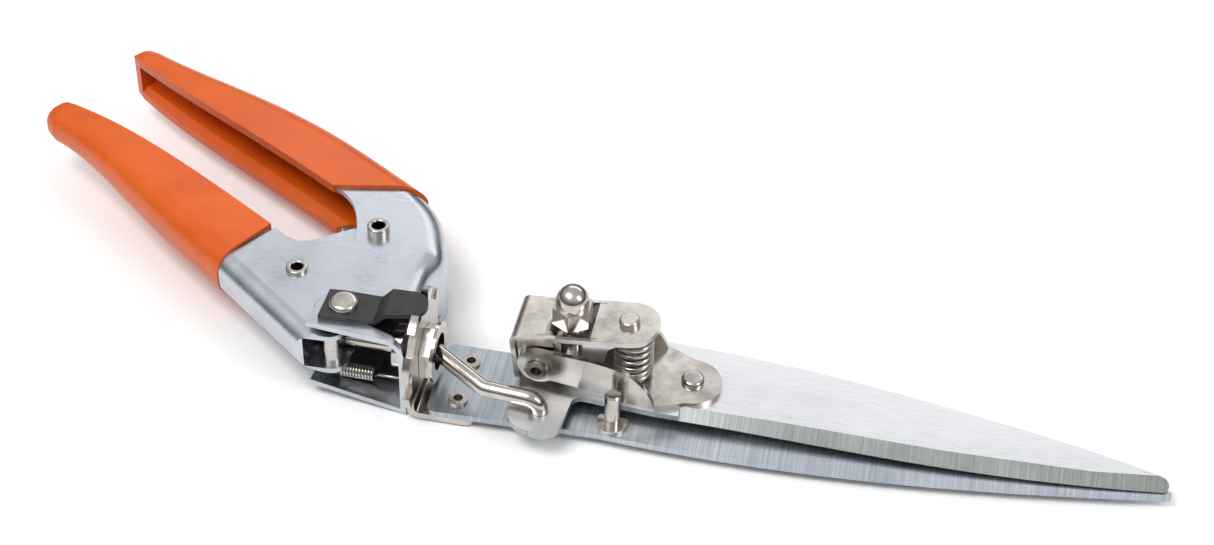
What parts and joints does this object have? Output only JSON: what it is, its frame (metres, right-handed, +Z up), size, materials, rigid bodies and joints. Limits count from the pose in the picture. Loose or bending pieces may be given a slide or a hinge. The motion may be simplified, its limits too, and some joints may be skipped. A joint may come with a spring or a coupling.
{
  "type": "swivel grass shears",
  "caption": "One-hand grass shears with orange dipped grips, plated steel handles, a swivelling blade head, a bent link rod and long tapered blades under a sprung clamp.",
  "frame": {"origin": "centre of the footprint, at the lowest point of the fixed handle's floor", "axes": "+X along the blades towards the tip, +Y across them towards the fixed grip, +Z up, the side of the acorn nut"},
  "size_m": [0.3412, 0.126, 0.0382],
  "materials": {
    "grip_orange": "soft glossy dipped PVC",
    "handle_zinc": "bluish zinc plate, satin",
    "nickel": "bright nickel plate",
    "blade_bright": "ground lengthwise, with a cross-ground bevel",
    "blade_dark": "ground across its length",
    "lever_black": "satin black"
  },
  "bodies": {
    "fixed_side": {"fixed_handle": "handle_zinc", "fixed_grip": "grip_orange", "handle_pivot_eyelet": "nickel", "hollow_bolt": "nickel", "swivel_nuts": "nickel", "swivel_washer": "nickel", "detent_lever": "lever_black", "detent_rivet": "nickel", "return_spring": "nickel"},
    "moving_side": {"moving_handle": "handle_zinc", "moving_grip": "grip_orange", "spacer_eyelet": "nickel", "spacer_post": "nickel", "post_sleeves": "nickel"},
    "anchor": {"link_anchor": "nickel"},
    "blade_head": {"swivel_bracket": "nickel", "lower_blade": "blade_dark", "foot_eyelets": "nickel", "stop_pin": "nickel", "pivot_bolt": "nickel", "acorn_nut": "nickel", "spacer_washer": "nickel"},
    "upper_jaw": {"upper_blade": "blade_bright", "saddle": "nickel", "tongue_rivet": "nickel", "hinge_eyelets": "nickel", "tension_spring": "nickel"},
    "clamp_plate": {"clamp": "nickel", "spring_pin": "nickel"},
    "link": {"link_rod": "nickel", "link_collar": "nickel"}
  },
  "joints": [
    {"name": "handle_squeeze", "type": "hinge", "parent": "fixed_side", "child": "moving_side", "pos_m": [-0.05603, -0.01174, 0.01415], "axis": [0, 0, 1], "range_deg": [0, 17.3], "deforming": ["return_spring"]},
    {"name": "anchor_pivot", "type": "hinge", "parent": "moving_side", "child": "anchor", "pos_m": [-0.06183, -0.04274, 0.01415], "axis": [0, 0, 1], "range_deg": [-17.3, 0]},
    {"name": "head_swivel", "type": "hinge", "parent": "fixed_side", "child": "blade_head", "pos_m": [-0.03573, -0.04274, 0.01415], "axis": [1, 0, 0], "range_deg": [-90, 90], "deforming": ["detent_lever"]},
    {"name": "blade_pivot", "type": "hinge", "parent": "blade_head", "child": "upper_jaw", "pos_m": [0.00497, -0.03494, 0.01415], "axis": [0, 0, 1], "range_deg": [0, 28]},
    {"name": "link_pivot", "type": "hinge", "parent": "upper_jaw", "child": "link", "pos_m": [0.00007, -0.05404, 0.01415], "axis": [0, 0, 1], "range_deg": [-28, 0]},
    {"name": "clamp_tilt", "type": "hinge", "parent": "upper_jaw", "child": "clamp_plate", "pos_m": [-0.00283, -0.03444, 0.01518], "axis": [0, 1, 0], "range_deg": [0, 2], "stiffness_Nm_per_rad": 2, "deforming": ["tension_spring"]}
  ],
  "couplings": [
    {"joint": "blade_pivot", "follows": "handle_squeeze", "ratio": 1.6185},
    {"joint": "link_pivot", "follows": "handle_squeeze", "ratio": -1.6185},
    {"joint": "anchor_pivot", "follows": "handle_squeeze", "ratio": -1}
  ]
}
